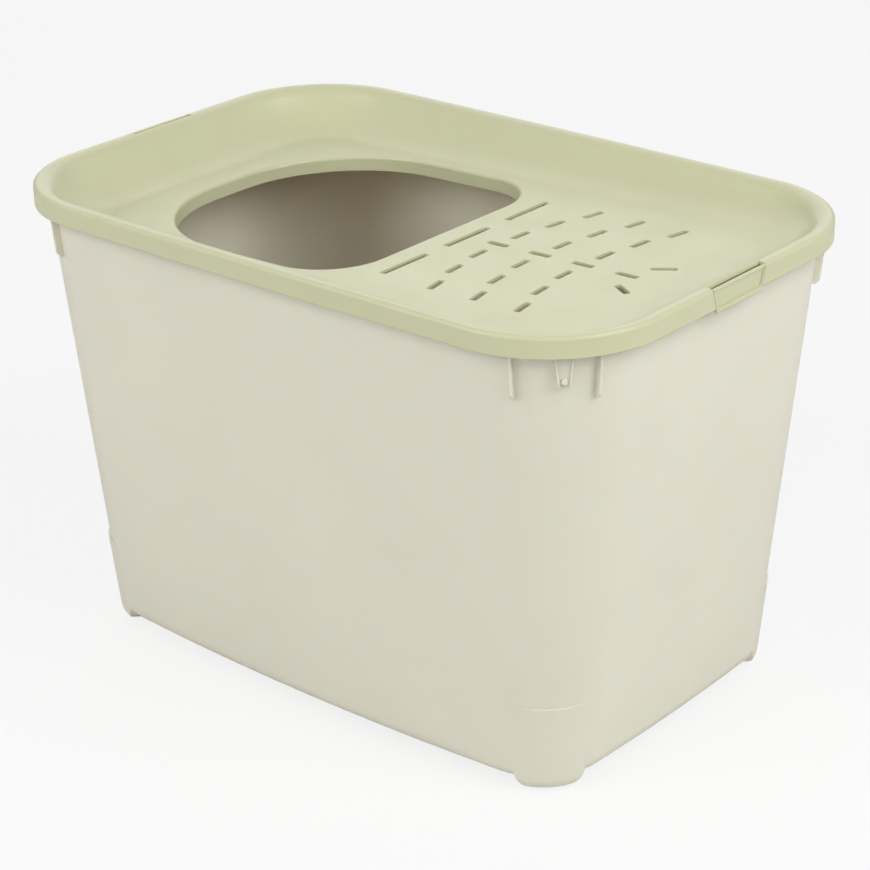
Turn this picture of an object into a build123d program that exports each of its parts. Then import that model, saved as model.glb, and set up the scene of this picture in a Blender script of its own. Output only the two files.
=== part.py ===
"""Top entry litter box: a deep tub and a tray-shaped lid that snaps over its rim.

Millimetres.  X runs along the length, Y across, Z up.  The origin is on the ground, under the centre.
The entry opening is in the -X half of the lid, the litter slots are in the +X half.
"""

import os
from math import asin, cos, degrees, radians, sin, sqrt

from build123d import *

# ---------------------------------------------------------------------------------------------------
# Driving dimensions
# ---------------------------------------------------------------------------------------------------

# Lid outline, at the outer face of the skirt
lid_half_length = 295.0
lid_half_width = 192.5
lid_end_bow = 0.7
lid_side_bow = 2.8
lid_corner_radius = 96.3

# Tub: foot print of the walls where they meet the floor, and how much each side bows outwards
base_half_length = 245.2
base_half_width = 149.5
base_end_bow = 5.0
base_side_bow = 12.6
base_corner_radius = 60.0

rim_height = 385.1
wall = 2.4
floor_wall = 2.6
floor_edge_radius = 15.0

# Rim of the tub
rim_reach = 9.4
rim_corner_radius = 81.7
rim_wall = 2.4
rim_lip_depth = 10.9
rim_land = 3.2
rim_flare_height = 7.5

# Angle from X of the line through the middle of a corner
middle_angle = 45.0

# Corner feet
foot_height = 8.0
foot_relief = 1.7
foot_panel_height = 76.0
foot_axis_shift = 13.4
foot_half_width = 27.0
foot_top_radius = 16.0
foot_bottom_radius = 12.5
foot_corner_radius = 18.0

# Nesting ribs, measured round each corner from the short end of the tub and down from the lid's skirt
rib_angles = (28.0, 69.3)
rib_thickness = 2.2
rib_depth = 6.0
rib_height = 36.3
rib_tip_rise = 3.5
rib_edge_radius = 0.7

# Scoop hook in the middle of the front right corner, measured down from the lid's skirt
hook_top_width = 13.8
hook_bottom_width = 8.6
hook_height = 24.3
hook_depth = 6.6
hook_web_depth = 5.1
hook_web = 1.4
hook_back_height = 20.0
hook_cheek = 1.2
hook_peg_rise = 5.0
hook_peg_radius = 2.1
hook_peg_length = 3.2
hook_notch_width = 3.4
hook_notch_height = 2.4

# Hole in the wall of the back left corner, measured down from the lid's skirt
corner_hole_drop = 60.7
corner_hole_height = 8.0
corner_hole_bottom_width = 5.8
corner_hole_top_width = 12.5

# Lid sections
seat_gap = 0.3
fit_gap = 0.4
skirt_wall = 2.4
skirt_depth = 16.5
lid_wall = 2.8
crest_inset = 4.6
crest_radius = 13.0
crest_land_angle = 7.0
crest_root_angle = 12.0
skirt_edge_radius = 3.0
tray_wall_angle = 55.0
tray_depth = 27.7
tray_tilt = 1.5
tray_steps = 4

# Entry opening: its left corners are so large that the left end is nearly a half disc
entry_half_width = 128.6
entry_left = -212.5
entry_right = 20.4
entry_left_radius = 110.5
entry_right_radius = 53.5
entry_edge_radius = 3.0
collar_depth = 13.0
collar_wall = 2.4

# Litter slots
slot_width = 6.0
slot_end_radius = 1.8
long_slot_x = 43.4
long_slot_length = 52.0
long_slot_pitch = 74.0
slot_length = 20.0
column_start = 74.0
column_pitch = 40.8
column_count = 3
column_radius = 257.0
column_slots = (25.6, 61.5, 95.8)
column_turn_share = 0.5
fan_x = 211.0
fan_y = 26.0
fan_angle = 31.5

# Snap clips in the middle of both short ends
clip_top_half_width = 33.0
clip_bottom_half_width = 28.0
clip_drop = 3.4
clip_corner_radius = 4.0
clip_gap = 0.3
clip_panel_margin = 1.8
clip_panel_depth = 1.2
clip_ledge = 3.8
clip_top_drop = 0.2
clip_slot_inset = 6.6

# How far a cut runs past the face it leaves through, and how edges are picked: at these shares of their
# length they lie this close to a plane
cut_margin = 4.0
edge_samples = (0.0, 0.3, 1.0)
pick_tolerance = 0.01

# ---------------------------------------------------------------------------------------------------
# Dimensions that follow
# ---------------------------------------------------------------------------------------------------

roof_height = rim_height + seat_gap
crest_height = roof_height + lid_wall
crest_centre_height = crest_height - crest_radius * cos(radians(crest_land_angle))
skirt_top_angle = -degrees(asin(crest_inset / crest_radius))
skirt_top = crest_centre_height + crest_radius * cos(radians(skirt_top_angle))
skirt_bottom = crest_height - skirt_depth
tray_floor = crest_height - tray_depth
rim_inset = skirt_wall + fit_gap
wall_inset = rim_inset + rim_reach
wall_top = skirt_bottom
floor_top = foot_height + floor_wall
flange_bottom = rim_height - rim_wall
flare_bottom = rim_height - rim_flare_height
crest_drop = crest_radius * (cos(radians(crest_land_angle)) - cos(radians(tray_wall_angle)))
cove_radius = (tray_depth - crest_drop) / (1 - cos(radians(tray_wall_angle)))
cove_end_inset = crest_inset + (crest_radius + cove_radius) * sin(radians(tray_wall_angle))
clip_face = lid_half_length + lid_end_bow
clip_top = skirt_top - clip_top_drop
clip_bottom = skirt_bottom - clip_drop
rib_bottom = wall_top - rib_height
hook_bottom = wall_top - hook_height
hook_peg_height = hook_bottom + hook_peg_rise
corner_hole_bottom = wall_top - corner_hole_drop
corner_hole_top = corner_hole_bottom + corner_hole_height


# ---------------------------------------------------------------------------------------------------
# Outlines
# ---------------------------------------------------------------------------------------------------


def rounded_outline(plane, half_length, half_width, end_bow, side_bow, corner_radius):
    """A rectangle whose four sides bow outwards and whose corners are round."""
    x, y = half_length, half_width
    with BuildSketch(plane) as sketch:
        with BuildLine():
            ThreePointArc((-x, -y), (0, -y - side_bow), (x, -y))
            ThreePointArc((x, -y), (x + end_bow, 0), (x, y))
            ThreePointArc((x, y), (0, y + side_bow), (-x, y))
            ThreePointArc((-x, y), (-x - end_bow, 0), (-x, -y))
        make_face()
        fillet(sketch.vertices(), radius=corner_radius)
    return sketch.sketch


def edges_on(piece, plane):
    """The edges of a piece that lie in a plane."""

    def lies_in_plane(edge):
        return all(abs(plane.to_local_coords(edge @ share).Z) < pick_tolerance for share in edge_samples)

    return piece.edges().filter_by(lies_in_plane)


def facing_axis(angle):
    """Axis that points outwards from the back right corner at an angle from X."""
    return Axis((0, 0, 0), (cos(radians(angle)), sin(radians(angle)), 0))


def lid_outline(plane, inset):
    """The lid's outline, moved inwards by inset."""
    return rounded_outline(
        plane,
        lid_half_length - inset,
        lid_half_width - inset,
        lid_end_bow,
        lid_side_bow,
        lid_corner_radius - inset,
    )


def wall_size(height):
    """Half length, half width, bows and corner radius of the tub's outer wall at a height."""
    share = (height - foot_height) / (wall_top - foot_height)
    top = (
        lid_half_length - wall_inset,
        lid_half_width - wall_inset,
        lid_end_bow,
        lid_side_bow,
        rim_corner_radius,
    )
    base = (base_half_length, base_half_width, base_end_bow, base_side_bow, base_corner_radius)
    return [low + share * (high - low) for low, high in zip(base, top)]


def wall_outline(height, inset):
    """Outline of the tub's wall at a height, moved inwards by inset."""
    half_length, half_width, end_bow, side_bow, corner_radius = wall_size(height)
    return rounded_outline(
        Plane.XY.offset(height),
        half_length - inset,
        half_width - inset,
        end_bow,
        side_bow,
        corner_radius - inset,
    )


# ---------------------------------------------------------------------------------------------------
# Tub
# ---------------------------------------------------------------------------------------------------


def corner_arc(outline):
    """The round edge at the back right corner of an outline."""
    return outline.edges().sort_by(facing_axis(middle_angle))[-1]


lid_corner_centre = corner_arc(lid_outline(Plane.XY, 0)).arc_center
foot_corner_centre = corner_arc(wall_outline(foot_panel_height, 0)).arc_center


def wall_radius(height, angle, centre=lid_corner_centre):
    """Distance of the tub's outer wall from the upright axis through a corner's centre, at an angle."""
    corner = corner_arc(wall_outline(height, 0))
    shift = corner.arc_center - centre
    return corner.radius + shift.X * cos(radians(angle)) + shift.Y * sin(radians(angle))


def corner_plane(angle, side_x=1, side_y=1, centre=lid_corner_centre):
    """Upright plane through a corner's centre, facing outwards at an angle from the short end."""
    direction = (side_x * cos(radians(angle)), side_y * sin(radians(angle)), 0)
    origin = (side_x * centre.X, side_y * centre.Y, 0)
    return Plane(origin=origin, x_dir=(-direction[1], direction[0], 0), z_dir=direction)


def on_four_corners(piece):
    """The piece and its mirror images about the two upright middle planes."""
    with BuildPart() as pattern:
        add(piece)
        mirror(about=Plane.XZ)
        mirror(about=Plane.YZ)
    return pattern.part


def foot(inset, bottom):
    """The back right corner foot, or its hollow when inset is the wall's thickness.

    A cone about an upright axis: it swells a little out of the wider corner of the wall and fades into
    its sides.
    """
    top = foot_panel_height - inset
    facing = corner_plane(middle_angle, centre=foot_corner_centre).offset(foot_axis_shift)
    side = Plane(origin=facing.origin, x_dir=facing.z_dir, z_dir=-facing.x_dir)

    def cone_radius(height):
        return wall_radius(height, middle_angle, foot_corner_centre) - foot_axis_shift + foot_relief - inset

    with BuildPart() as cone:
        with BuildSketch(side) as profile:
            with BuildLine():
                Polyline(
                    (0, bottom),
                    (cone_radius(bottom), bottom),
                    (cone_radius(top), top),
                    (0, top),
                    close=True,
                )
            make_face()
            levels = profile.vertices().group_by(Axis.Y)
            fillet(levels[0].sort_by(Axis.X)[-1], radius=foot_bottom_radius - inset)
            fillet(levels[-1].sort_by(Axis.X)[-1], radius=foot_top_radius - inset)
        revolve(axis=Axis(facing.origin, (0, 0, 1)))
        with BuildSketch(facing.offset(inset)) as front:
            Rectangle(2 * (foot_half_width - inset), top, align=(Align.CENTER, Align.MIN))
            fillet(front.vertices().group_by(Axis.Y)[0], radius=foot_corner_radius - inset)
        extrude(amount=foot_panel_height, mode=Mode.INTERSECT)
    return cone.part


def rib(angle):
    """One upright nesting rib of the back right corner, from under the flange to a raked tip."""
    facing = corner_plane(angle)
    side = Plane(origin=facing.origin, x_dir=facing.z_dir, z_dir=-facing.x_dir)
    root_top = wall_radius(wall_top, angle)
    root_bottom = wall_radius(rib_bottom, angle)
    with BuildPart() as plate:
        with BuildSketch(side):
            with BuildLine():
                Polyline(
                    (root_bottom - wall / 2, rib_bottom),
                    (root_bottom + rib_depth - rib_tip_rise, rib_bottom),
                    (root_bottom + rib_depth, rib_bottom + rib_tip_rise),
                    (root_top + rib_depth, wall_top),
                    (root_top + rib_depth, flange_bottom + rim_wall / 2),
                    (root_top - wall / 2, flange_bottom + rim_wall / 2),
                    close=True,
                )
            make_face()
        extrude(amount=rib_thickness / 2, both=True)
        long_edges = plate.edges().filter_by(lambda edge: edge.length > rib_height / 2)
        fillet(long_edges.sort_by(facing_axis(angle))[-2:], radius=rib_edge_radius)
    return plate.part


def hook_profile(margin, bottom, top):
    """Front view of the scoop hook, which narrows downwards, moved inwards by margin at its sides."""
    taper = (hook_top_width - hook_bottom_width) / 2 / (skirt_bottom - hook_bottom)

    def half_width(height):
        return hook_bottom_width / 2 + taper * (height - hook_bottom) - margin

    with BuildSketch() as profile:
        with BuildLine():
            Polyline(
                (-half_width(bottom), bottom),
                (half_width(bottom), bottom),
                (half_width(top), top),
                (-half_width(top), top),
                close=True,
            )
        make_face()
    return profile.sketch


with BuildPart() as hook:
    hook_plane = corner_plane(middle_angle, 1, -1)
    hook_root = wall_radius(hook_bottom, middle_angle)
    hook_back = wall_radius(hook_bottom + hook_back_height, middle_angle)
    with BuildSketch(hook_plane.offset(hook_root - wall / 2)):
        add(hook_profile(0, hook_bottom, flange_bottom + rim_wall / 2))
    extrude(amount=hook_depth + wall / 2)
    with BuildSketch(hook_plane.offset(hook_root + hook_web_depth)):
        add(hook_profile(hook_cheek, hook_bottom, flange_bottom))
    extrude(amount=hook_depth, mode=Mode.SUBTRACT)
    with BuildSketch(hook_plane.offset(hook_back)):
        add(hook_profile(hook_cheek, hook_bottom, hook_bottom + hook_back_height))
    extrude(amount=hook_root + hook_web_depth - hook_web - hook_back, mode=Mode.SUBTRACT)
    with BuildSketch(hook_plane.offset(hook_back)):
        with Locations((0, hook_bottom)):
            Rectangle(hook_notch_width, 2 * hook_notch_height)
    extrude(amount=hook_depth, mode=Mode.SUBTRACT)
    with BuildSketch(hook_plane.offset(hook_root + hook_web_depth - hook_web)):
        with Locations((0, hook_peg_height)):
            Circle(hook_peg_radius)
    extrude(amount=hook_web + hook_peg_length)

with BuildPart() as tub_hollow:
    loft([wall_outline(floor_top, wall), wall_outline(flare_bottom, wall)], ruled=True)
    fillet(tub_hollow.edges().group_by(Axis.Z)[0], radius=floor_edge_radius - wall)
    add(on_four_corners(foot(wall, floor_wall)))
    loft(
        [
            wall_outline(flare_bottom, wall),
            lid_outline(Plane.XY.offset(rim_height), rim_inset + rim_land),
        ],
        ruled=True,
    )

with BuildPart() as tub:
    loft([wall_outline(foot_height, 0), wall_outline(flare_bottom, 0)], ruled=True)
    fillet(tub.edges().group_by(Axis.Z)[0], radius=floor_edge_radius)
    loft(
        [
            wall_outline(flare_bottom, 0),
            lid_outline(Plane.XY.offset(flange_bottom), rim_inset + rim_land - rim_wall / 2),
        ],
        ruled=True,
    )
    add(lid_outline(Plane.XY.offset(flange_bottom), rim_inset))
    extrude(amount=rim_wall)
    with BuildSketch(Plane.XY.offset(rim_height - rim_lip_depth)):
        add(lid_outline(Plane.XY, rim_inset))
        add(lid_outline(Plane.XY, rim_inset + rim_wall), mode=Mode.SUBTRACT)
    extrude(amount=rim_lip_depth)
    add(on_four_corners(foot(0, 0)))
    for rib_angle in rib_angles:
        add(on_four_corners(rib(rib_angle)))
    add(hook.part)
    add(tub_hollow.part, mode=Mode.SUBTRACT)
    hole_plane = corner_plane(middle_angle, -1, 1)
    with BuildSketch(hole_plane.offset(wall_radius(corner_hole_bottom, middle_angle))):
        with BuildLine():
            Polyline(
                (-corner_hole_bottom_width / 2, corner_hole_bottom),
                (corner_hole_bottom_width / 2, corner_hole_bottom),
                (corner_hole_top_width / 2, corner_hole_top),
                (-corner_hole_top_width / 2, corner_hole_top),
                close=True,
            )
        make_face()
    extrude(amount=wall + cut_margin, both=True, mode=Mode.SUBTRACT)


# ---------------------------------------------------------------------------------------------------
# Lid
# ---------------------------------------------------------------------------------------------------


def tilted_plane(height, tilt):
    """Plane at a height above the origin that rises towards +X by a tilt."""
    reach = cos(radians(tilt))
    rise = sin(radians(tilt))
    return Plane(origin=(0, 0, height), x_dir=(reach, 0, rise), z_dir=(-rise, 0, reach))


def crest_section(angle, offset):
    """Section where the convex side of the crest slopes at an angle, offset below the upper face."""
    height = crest_centre_height + (crest_radius - offset) * cos(radians(angle))
    return lid_outline(Plane.XY.offset(height), crest_inset + (crest_radius - offset) * sin(radians(angle)))


def cove_section(angle, offset):
    """Section where the concave side of the tray slopes at an angle, offset below the upper face.

    The tilt of the sections grows smoothly from none at the crest to the whole of it at the floor.
    """
    inset = cove_end_inset - (cove_radius + offset) * sin(radians(angle))
    height = tray_floor + cove_radius - (cove_radius + offset) * cos(radians(angle))
    share = (cos(radians(angle)) - cos(radians(tray_wall_angle))) / (1 - cos(radians(tray_wall_angle)))
    return lid_outline(tilted_plane(height, tray_tilt * share**2), inset)


def steps_between(first, last):
    """Evenly spaced angles from first to last."""
    return [first + (last - first) * step / tray_steps for step in range(tray_steps + 1)]


def tray(offset, first_angle):
    """The tray's hollow, or its outside when offset is the lid's wall.

    An S-shaped wall goes round a tilted floor.
    """
    with BuildPart() as whole:
        loft([crest_section(angle, offset) for angle in steps_between(first_angle, tray_wall_angle)])
        extrude(whole.faces().sort_by(Axis.Z)[-1], amount=lid_wall / 2)
        loft([cove_section(angle, offset) for angle in steps_between(tray_wall_angle, 0)])
    return whole.part


def entry_outline(outset):
    """Outline of the entry opening on the tray's floor, moved outwards by outset."""
    with BuildSketch() as outline:
        with Locations((entry_left - outset, 0)):
            Rectangle(
                entry_right - entry_left + 2 * outset,
                2 * (entry_half_width + outset),
                align=(Align.MIN, Align.CENTER),
            )
        fillet(outline.vertices().group_by(Axis.X)[-1], radius=entry_right_radius + outset)
        fillet(outline.vertices().sort_by(Axis.X)[:2], radius=entry_left_radius + outset)
    return outline.sketch


def column_places():
    """Place and turn of each slot that lies along one of the curved columns."""
    places = []
    for column in range(column_count):
        middle = column_start + column * column_pitch
        for across in column_slots:
            for side in (-1, 1):
                along = middle + column_radius - sqrt(column_radius**2 - across**2)
                turn = -side * column_turn_share * degrees(asin(across / column_radius))
                places.append(Location((along, side * across, 0), (0, 0, turn)))
    return places


def clip_outline(outset):
    """Front view of a snap clip, moved outwards by outset."""
    with BuildSketch() as outline:
        with BuildLine():
            Polyline(
                (-clip_bottom_half_width - outset, clip_bottom - outset),
                (clip_bottom_half_width + outset, clip_bottom - outset),
                (clip_top_half_width + outset, clip_top + outset),
                (-clip_top_half_width - outset, clip_top + outset),
                close=True,
            )
        make_face()
    return outline.sketch


end_plane = Plane(origin=(clip_face, 0, 0), x_dir=(0, 1, 0), z_dir=(1, 0, 0))
tray_plane = tilted_plane(tray_floor, tray_tilt)

with BuildPart() as clip_opening:
    with BuildSketch(end_plane.offset(-clip_slot_inset)):
        with Locations((0, roof_height + lid_wall)):
            Rectangle(2 * (clip_top_half_width + clip_gap), 2 * lid_wall + 2 * seat_gap)
    extrude(amount=2 * clip_slot_inset)
    with BuildSketch(end_plane.offset(-skirt_wall - fit_gap / 2)):
        add(clip_outline(clip_gap))
    extrude(amount=2 * clip_slot_inset)
    mirror(about=Plane.YZ)

with BuildPart() as lid:
    add(lid_outline(Plane.XY.offset(skirt_bottom), 0))
    extrude(amount=skirt_top - skirt_bottom)
    loft([crest_section(angle, 0) for angle in steps_between(skirt_top_angle, -crest_land_angle)])
    fillet(edges_on(lid, Plane.XY.offset(skirt_top)), radius=skirt_edge_radius)
    add(lid_outline(Plane.XY.offset(skirt_bottom), skirt_wall))
    extrude(amount=roof_height - skirt_bottom, mode=Mode.SUBTRACT)
    add(tray(lid_wall, crest_root_angle))
    with BuildSketch(tray_plane.offset(-collar_depth)):
        add(entry_outline(collar_wall))
    extrude(amount=collar_depth - lid_wall / 2)
    add(tray(0, crest_land_angle), mode=Mode.SUBTRACT)
    with BuildSketch(tray_plane):
        add(entry_outline(0))
    extrude(amount=collar_depth + cut_margin, both=True, mode=Mode.SUBTRACT)
    entry_edges = edges_on(lid, tray_plane)
    entry_edges = entry_edges.filter_by_position(Axis.X, entry_left, entry_right)
    entry_edges = entry_edges.filter_by_position(Axis.Y, -entry_half_width, entry_half_width)
    fillet(entry_edges, radius=entry_edge_radius)
    with BuildSketch(tray_plane):
        with GridLocations(0, long_slot_pitch, 1, 3):
            with Locations((long_slot_x, 0)):
                RectangleRounded(slot_width, long_slot_length, slot_end_radius)
        with Locations(column_places()):
            RectangleRounded(slot_width, slot_length, slot_end_radius)
        for column in range(column_count + 1):
            with Locations((column_start + column * column_pitch, 0)):
                RectangleRounded(slot_length, slot_width, slot_end_radius)
        for side in (-1, 1):
            with Locations(Location((fan_x, side * fan_y, 0), (0, 0, side * fan_angle))):
                RectangleRounded(slot_length, slot_width, slot_end_radius)
    extrude(amount=collar_depth, both=True, mode=Mode.SUBTRACT)
    add(clip_opening.part, mode=Mode.SUBTRACT)

# ---------------------------------------------------------------------------------------------------
# Snap clips
# ---------------------------------------------------------------------------------------------------

with BuildPart() as right_clip:
    with BuildSketch(end_plane.offset(-skirt_wall)):
        add(clip_outline(0))
    extrude(amount=skirt_wall)
    with BuildSketch(end_plane) as panel:
        with BuildLine():
            Polyline(
                (-clip_bottom_half_width + clip_panel_margin, clip_bottom + clip_ledge),
                (clip_bottom_half_width - clip_panel_margin, clip_bottom + clip_ledge),
                (clip_top_half_width - clip_panel_margin, clip_top - clip_panel_margin),
                (-clip_top_half_width + clip_panel_margin, clip_top - clip_panel_margin),
                close=True,
            )
        make_face()
        fillet(panel.vertices().group_by(Axis.Y)[0], radius=clip_corner_radius)
    extrude(amount=-clip_panel_depth, mode=Mode.SUBTRACT)

with BuildPart() as left_clip:
    add(mirror(right_clip.part, about=Plane.YZ, mode=Mode.PRIVATE))

# ---------------------------------------------------------------------------------------------------
# Files
# ---------------------------------------------------------------------------------------------------

tub.part.label = "bin"
lid.part.label = "lid"
left_clip.part.label = "left_clip"
right_clip.part.label = "right_clip"

os.makedirs("parts", exist_ok=True)
export_step(tub.part, "parts/bin.step")
export_step(lid.part, "parts/lid.step")
export_step(left_clip.part, "parts/left_clip.step")
export_step(right_clip.part, "parts/right_clip.step")
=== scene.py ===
"""Looks of the top entry litter box: moulded plastic finishes, soft studio light, pale floor and camera.

Metres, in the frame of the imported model: X along the length, Y across, Z up, the ground at Z = 0.
"""

from math import cos, radians, sin

import bpy
from mathutils import Matrix, Vector


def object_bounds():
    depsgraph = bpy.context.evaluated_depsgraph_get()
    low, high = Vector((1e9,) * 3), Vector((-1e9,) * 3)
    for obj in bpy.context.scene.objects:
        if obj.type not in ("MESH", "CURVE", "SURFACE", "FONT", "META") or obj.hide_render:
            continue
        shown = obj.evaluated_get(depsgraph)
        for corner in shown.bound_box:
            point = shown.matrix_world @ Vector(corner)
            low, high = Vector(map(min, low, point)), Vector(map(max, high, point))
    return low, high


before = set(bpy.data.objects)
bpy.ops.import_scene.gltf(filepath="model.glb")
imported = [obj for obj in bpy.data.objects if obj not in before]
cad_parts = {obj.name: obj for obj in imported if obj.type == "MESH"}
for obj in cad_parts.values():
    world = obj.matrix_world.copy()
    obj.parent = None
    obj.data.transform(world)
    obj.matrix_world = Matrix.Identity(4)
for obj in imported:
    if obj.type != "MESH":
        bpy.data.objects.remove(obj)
cad_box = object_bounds()

# ---------------------------------------------------------------------------------------------------
# Camera, in degrees and metres
# ---------------------------------------------------------------------------------------------------

camera_azimuth = 40.597
camera_elevation = 24.583
camera_roll = -1.053
camera_distance = 2.0746
camera_target = Vector((0.0136, -0.0014, 0.1830))
camera_sensor = 36.0
camera_lens = 106.25
camera_shift = (-0.0063, 0.0029)

# ---------------------------------------------------------------------------------------------------
# Plastics: colours in linear light, noise in features per metre, lengths in metres
# ---------------------------------------------------------------------------------------------------

beige = (0.71, 0.685, 0.573, 1.0)
sage = (0.56, 0.563, 0.362, 1.0)
bin_roughness = 0.42
lid_roughness = 0.36
bin_edge_radius = 0.0009
lid_edge_radius = 0.0012
bin_translucency = 0.30
lid_translucency = 0.15

plastic_ior = 1.49
scatter_depth = 0.004
scatter_by_colour = (1.4, 0.9, 0.7)

# Middle range of a noise, which is stretched over the whole of what it changes
noise_low = 0.3
noise_high = 0.7

flow_scale = 9.0
flow_detail = 2.0
flow_change = 0.015
smudge_scale = 28.0
smudge_detail = 4.0
smudge_change = 0.05
sink_scale = 60.0
sink_detail = 2.0
sink_strength = 0.12
sink_depth = 0.0006
grain_scale = 1400.0
grain_detail = 3.0
grain_strength = 0.10
grain_depth = 0.00012

# Edges get a painted highlight, lighter where the rounded normal turns from the face's: cosines where it
# starts and is full
edge_samples = 4
edge_highlight_start = 0.98
edge_highlight_full = 0.80
edge_highlight_share = 0.35
edge_highlight_lightening = 1.15

# ---------------------------------------------------------------------------------------------------
# Floor and surroundings: floor_lift is how far the camera sees the floor as pure white
# ---------------------------------------------------------------------------------------------------

floor_half = 12.0
floor_colour = (0.74, 0.74, 0.735, 1.0)
floor_roughness = 0.9
floor_specular = 0.1
floor_lift = 0.8
white = (1.0, 1.0, 1.0, 1.0)
ambient_level = 0.2
reflected_level = 0.5

# ---------------------------------------------------------------------------------------------------
# Softboxes: name, azimuth and elevation in degrees, size in metres, power in watts
# ---------------------------------------------------------------------------------------------------

light_distance = 3.0
softboxes = (
    ("key", 95.0, 38.0, 2.0, 59.0),
    ("front", -20.0, 32.0, 2.0, 43.0),
    ("camera_side", 35.0, 30.0, 2.0, 13.0),
    ("left", -80.0, 35.0, 2.0, 6.0),
    ("back_left", -140.0, 26.0, 2.4, 20.0),
    ("back_right", 160.0, 30.0, 2.0, 8.0),
)


# ---------------------------------------------------------------------------------------------------
# Shader nodes
# ---------------------------------------------------------------------------------------------------


def feed(tree, socket, value):
    """Links an input from another node's socket, or sets it to a value."""
    if isinstance(value, bpy.types.NodeSocket):
        tree.links.new(value, socket)
    else:
        socket.default_value = value


def linked(tree, kind, **inputs):
    """A new node of a kind, with each named input fed."""
    node = tree.nodes.new(kind)
    for name, value in inputs.items():
        feed(tree, node.inputs[name.replace("_", " ")], value)
    return node


def combined(tree, kind, operation, output, *values):
    """The named output of a math node that joins values by an operation."""
    node = tree.nodes.new(kind)
    node.operation = operation
    for socket, value in zip(node.inputs, values):
        feed(tree, socket, value)
    return node.outputs[output]


def noise(tree, place, scale, detail):
    """Noise in object space, with features 1 / scale metres across."""
    return linked(tree, "ShaderNodeTexNoise", Vector=place, Scale=scale, Detail=detail).outputs["Fac"]


def mapped(tree, value, start, end, low, high):
    """A value that runs from low to high as another runs from start to end, and stays in between."""
    node = linked(
        tree,
        "ShaderNodeMapRange",
        Value=value,
        From_Min=start,
        From_Max=end,
        To_Min=low,
        To_Max=high,
    )
    return node.outputs["Result"]


def varied(tree, place, scale, detail, middle, change):
    """A value that drifts about its middle, by up to a change either way, as a noise does."""
    pattern = noise(tree, place, scale, detail)
    return mapped(tree, pattern, noise_low, noise_high, middle - change, middle + change)


def bumped(tree, place, scale, detail, strength, depth, normal):
    """A normal that a noise of some depth roughens."""
    node = linked(
        tree,
        "ShaderNodeBump",
        Height=noise(tree, place, scale, detail),
        Strength=strength,
        Distance=depth,
        Normal=normal,
    )
    return node.outputs["Normal"]


def moulded_plastic(name, colour, roughness, edge_radius, translucency):
    """Satin polypropylene: spark-eroded grain, faint flow variation, slightly rounded edges lightened by a
    painted highlight.
    """
    material = bpy.data.materials.new(name)
    material.use_nodes = True
    tree = material.node_tree
    shader = tree.nodes["Principled BSDF"]
    place = tree.nodes.new("ShaderNodeTexCoord").outputs["Object"]

    rounded = linked(tree, "ShaderNodeBevel", Radius=edge_radius)
    rounded.samples = edge_samples
    rounded_normal = rounded.outputs["Normal"]
    face_normal = tree.nodes.new("ShaderNodeNewGeometry").outputs["Normal"]
    agreement = combined(tree, "ShaderNodeVectorMath", "DOT_PRODUCT", "Value", rounded_normal, face_normal)

    flow = varied(tree, place, flow_scale, flow_detail, 1.0, flow_change)
    tint = linked(tree, "ShaderNodeHueSaturation", Color=colour, Value=flow)
    # Painted highlight: the colour is lightened along edges, where the rounded normal turns from the
    # face's
    highlighted_edge = tree.nodes.new("ShaderNodeMix")
    highlighted_edge.data_type = "RGBA"
    feed(tree, highlighted_edge.inputs["Factor"], mapped(tree, agreement, edge_highlight_start, edge_highlight_full, 0.0, edge_highlight_share))
    feed(tree, highlighted_edge.inputs["A"], tint.outputs["Color"])
    feed(tree, highlighted_edge.inputs["B"], [min(1.0, edge_highlight_lightening * value) for value in colour])
    feed(tree, shader.inputs["Base Color"], highlighted_edge.outputs["Result"])

    smudge = varied(tree, place, smudge_scale, smudge_detail, roughness, smudge_change)
    feed(tree, shader.inputs["Roughness"], smudge)
    sunk = bumped(tree, place, sink_scale, sink_detail, sink_strength, sink_depth, rounded_normal)
    grained = bumped(tree, place, grain_scale, grain_detail, grain_strength, grain_depth, sunk)
    feed(tree, shader.inputs["Normal"], grained)

    shader.inputs["IOR"].default_value = plastic_ior
    shader.subsurface_method = "RANDOM_WALK"
    shader.inputs["Subsurface Weight"].default_value = translucency
    shader.inputs["Subsurface Radius"].default_value = scatter_by_colour
    shader.inputs["Subsurface Scale"].default_value = scatter_depth
    return material


def dress(node, material):
    """Gives a CAD node its material."""
    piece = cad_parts[node]
    piece.data.materials.clear()
    piece.data.materials.append(material)


bin_plastic = moulded_plastic("bin_plastic", beige, bin_roughness, bin_edge_radius, bin_translucency)
lid_plastic = moulded_plastic("lid_plastic", sage, lid_roughness, lid_edge_radius, lid_translucency)
dress("bin", bin_plastic)
for node in ("lid", "left_clip", "right_clip"):
    dress(node, lid_plastic)


# ---------------------------------------------------------------------------------------------------
# Floor and surroundings
# ---------------------------------------------------------------------------------------------------


def floor_material():
    """Matt floor that the camera sees nearly white, with the object's shadow kept."""
    material = bpy.data.materials.new("floor")
    material.use_nodes = True
    tree = material.node_tree
    shader = tree.nodes["Principled BSDF"]
    shader.inputs["Base Color"].default_value = floor_colour
    shader.inputs["Roughness"].default_value = floor_roughness
    shader.inputs["Specular IOR Level"].default_value = floor_specular
    camera_ray = tree.nodes.new("ShaderNodeLightPath").outputs["Is Camera Ray"]
    lift = combined(tree, "ShaderNodeMath", "MULTIPLY", "Value", camera_ray, floor_lift)
    glow = linked(tree, "ShaderNodeEmission", Color=white, Strength=1.0)
    seen = linked(tree, "ShaderNodeMixShader", Fac=lift)
    feed(tree, seen.inputs[1], shader.outputs["BSDF"])
    feed(tree, seen.inputs[2], glow.outputs["Emission"])
    feed(tree, tree.nodes["Material Output"].inputs["Surface"], seen.outputs["Shader"])
    return material


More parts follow.
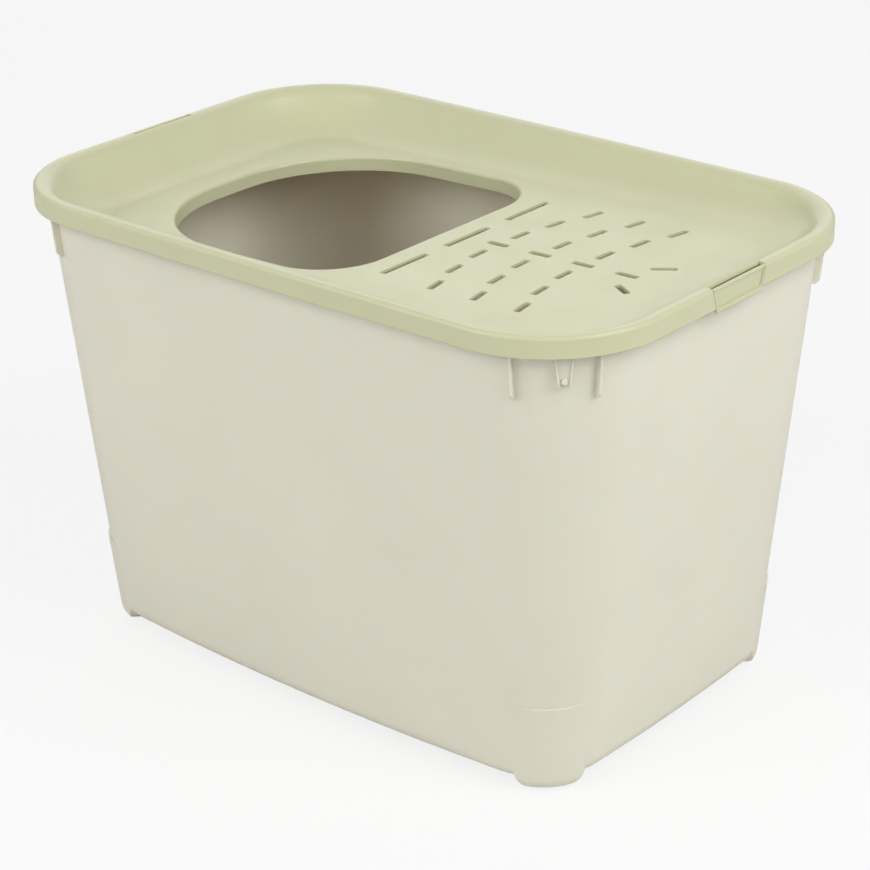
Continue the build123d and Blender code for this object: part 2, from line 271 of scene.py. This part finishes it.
def floor_square():
    """A square of floor round the object."""
    mesh = bpy.data.meshes.new("floor")
    corners = [(-1, -1), (1, -1), (1, 1), (-1, 1)]
    mesh.from_pydata([(x * floor_half, y * floor_half, 0) for x, y in corners], [], [range(len(corners))])
    mesh.materials.append(floor_material())
    plane = bpy.data.objects.new("floor", mesh)
    bpy.context.scene.collection.objects.link(plane)
    return plane


def surroundings():
    """A white world for the camera, dimmer in reflections and dimmer still as light on the object."""
    world = bpy.data.worlds.new("studio")
    world.use_nodes = True
    bpy.context.scene.world = world
    tree = world.node_tree
    rays = tree.nodes.new("ShaderNodeLightPath")
    glossy_ray = rays.outputs["Is Glossy Ray"]
    unseen = mapped(tree, glossy_ray, 0.0, 1.0, ambient_level, reflected_level)
    strength = combined(tree, "ShaderNodeMath", "MAXIMUM", "Value", rays.outputs["Is Camera Ray"], unseen)
    background = tree.nodes["Background"]
    feed(tree, background.inputs["Strength"], strength)
    background.inputs["Color"].default_value = white


floor = floor_square()
surroundings()


# ---------------------------------------------------------------------------------------------------
# Lights
# ---------------------------------------------------------------------------------------------------


def direction(azimuth, elevation):
    """Unit vector from the object towards a camera or lamp, from its angles in degrees."""
    a, e = radians(azimuth), radians(elevation)
    return Vector((sin(a) * cos(e), -cos(a) * cos(e), sin(e)))


def softbox(name, azimuth, elevation, size, power):
    """A square area light that faces the middle of the object."""
    middle = Vector((0.0, 0.0, cad_box[1].z / 2))
    back = direction(azimuth, elevation)
    light = bpy.data.lights.new(name, "AREA")
    light.shape = "SQUARE"
    light.size = size
    light.energy = power
    lamp = bpy.data.objects.new(name, light)
    lamp.location = middle + back * light_distance
    lamp.rotation_mode = "QUATERNION"
    lamp.rotation_quaternion = (-back).to_track_quat("-Z", "Y")
    bpy.context.scene.collection.objects.link(lamp)


for lamp in softboxes:
    softbox(*lamp)


# ---------------------------------------------------------------------------------------------------
# Camera
# ---------------------------------------------------------------------------------------------------


def photo_camera():
    """The camera, turned round its own axis by the roll."""
    back = direction(camera_azimuth, camera_elevation)
    level = Vector((cos(radians(camera_azimuth)), sin(radians(camera_azimuth)), 0.0))
    upright = back.cross(level)
    roll = radians(camera_roll)
    right = level * cos(roll) + upright * sin(roll)
    up = upright * cos(roll) - level * sin(roll)
    data = bpy.data.cameras.new("camera")
    data.sensor_width = camera_sensor
    data.lens = camera_lens
    data.shift_x, data.shift_y = camera_shift
    camera = bpy.data.objects.new("camera", data)
    place = Matrix((right, up, back)).transposed().to_4x4()
    place.translation = camera_target + back * camera_distance
    camera.matrix_world = place
    bpy.context.scene.collection.objects.link(camera)
    bpy.context.scene.camera = camera


photo_camera()
bpy.context.scene.view_settings.view_transform = "Standard"
